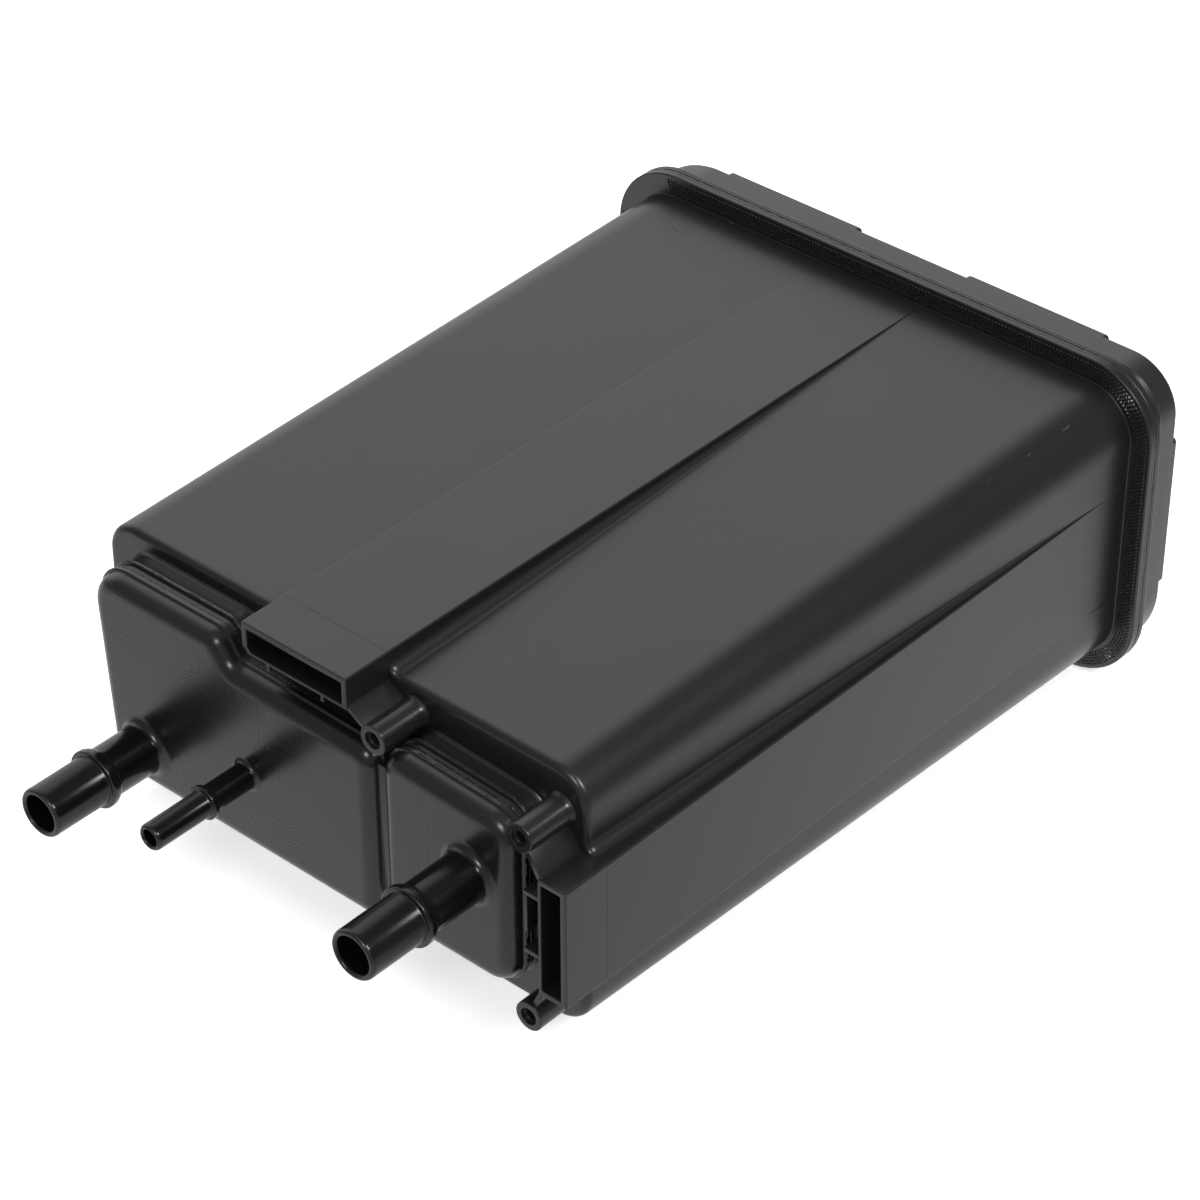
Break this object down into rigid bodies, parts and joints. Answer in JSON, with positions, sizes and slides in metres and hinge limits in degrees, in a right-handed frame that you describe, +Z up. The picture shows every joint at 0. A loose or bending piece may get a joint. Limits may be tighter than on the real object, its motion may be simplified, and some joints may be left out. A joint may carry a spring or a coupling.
{
  "type": "charcoal canister",
  "caption": "Flat rectangular black plastic charcoal canister with bracket rails along its top and side, quick-connect ports on the front cover and a welded, flanged rear cover.",
  "frame": {"origin": "centre of the bottom of the bounding box", "axes": "+Y from the ports to the rear cover, along the longest side; +Z up; +X towards the side bracket rail"},
  "size_m": [0.212, 0.3168, 0.1137],
  "materials": {
    "housing_black": "semi-matte moulded black",
    "port_cover_black": "satin moulded black",
    "rear_cover_black": "semi-matte moulded black",
    "diffuser_foam": "open-cell foam",
    "fleece": "pressed non-woven",
    "plate_plastic": "moulded",
    "carbon": "packed carbon pellets",
    "spring_steel": "drawn wire"
  },
  "bodies": {
    "root": {"housing": "housing_black", "port_cover": "port_cover_black", "rear_cover": "rear_cover_black", "tank_diffuser": "diffuser_foam", "vent_diffuser": "diffuser_foam", "tank_front_pad": "fleece", "vent_front_pad": "fleece", "tank_rear_pad": "fleece", "vent_rear_pad": "fleece", "vent_separator_pad": "fleece", "tank_spring_plate": "plate_plastic", "vent_spring_plate": "plate_plastic", "tank_carbon_bed": "carbon", "vent_outer_carbon_bed": "carbon", "vent_inner_carbon_bed": "carbon", "tank_spring_1": "spring_steel", "tank_spring_2": "spring_steel", "tank_spring_3": "spring_steel", "tank_spring_4": "spring_steel", "vent_spring_1": "spring_steel", "vent_spring_2": "spring_steel"}
  },
  "joints": []
}
